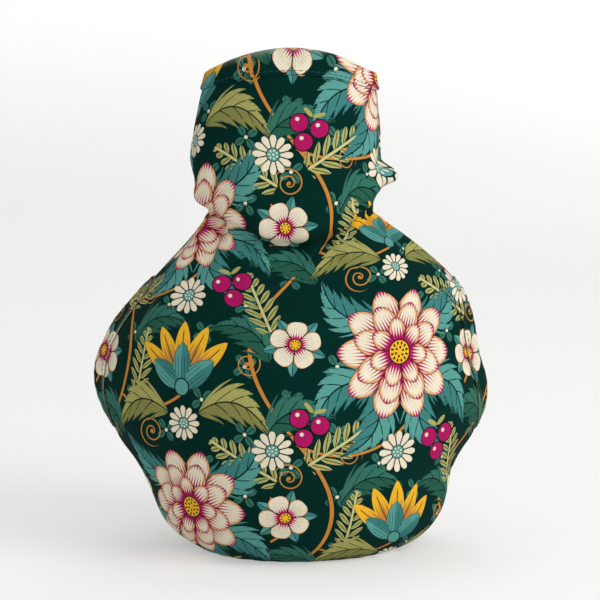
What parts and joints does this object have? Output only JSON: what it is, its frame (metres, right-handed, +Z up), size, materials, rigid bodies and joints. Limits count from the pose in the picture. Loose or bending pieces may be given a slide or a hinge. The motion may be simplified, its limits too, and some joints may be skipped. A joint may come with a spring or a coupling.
{
  "type": "tea cosy",
  "caption": "Padded cloth cover for a teapot, with side openings for spout and handle, a gathered neck and a flared open ruff.",
  "frame": {"origin": "on the surface under the hem, at the middle of the bounding box", "axes": "+Z up through the neck, +X towards the teapot's handle, -X towards its spout, -Y towards the front panel"},
  "size_m": [0.202, 0.1696, 0.2572],
  "materials": {
    "printed_cotton": "printed cotton over wadding, plain weave, matt",
    "printed_binding": "the same printed cotton, folded as a binding, matt"
  },
  "bodies": {
    "root": {"front_panel": "printed_cotton", "back_panel": "printed_cotton", "spout_front_binding": "printed_binding", "handle_front_binding": "printed_binding", "handle_back_binding": "printed_binding", "spout_back_binding": "printed_binding", "rim_band": "printed_binding"}
  },
  "joints": []
}
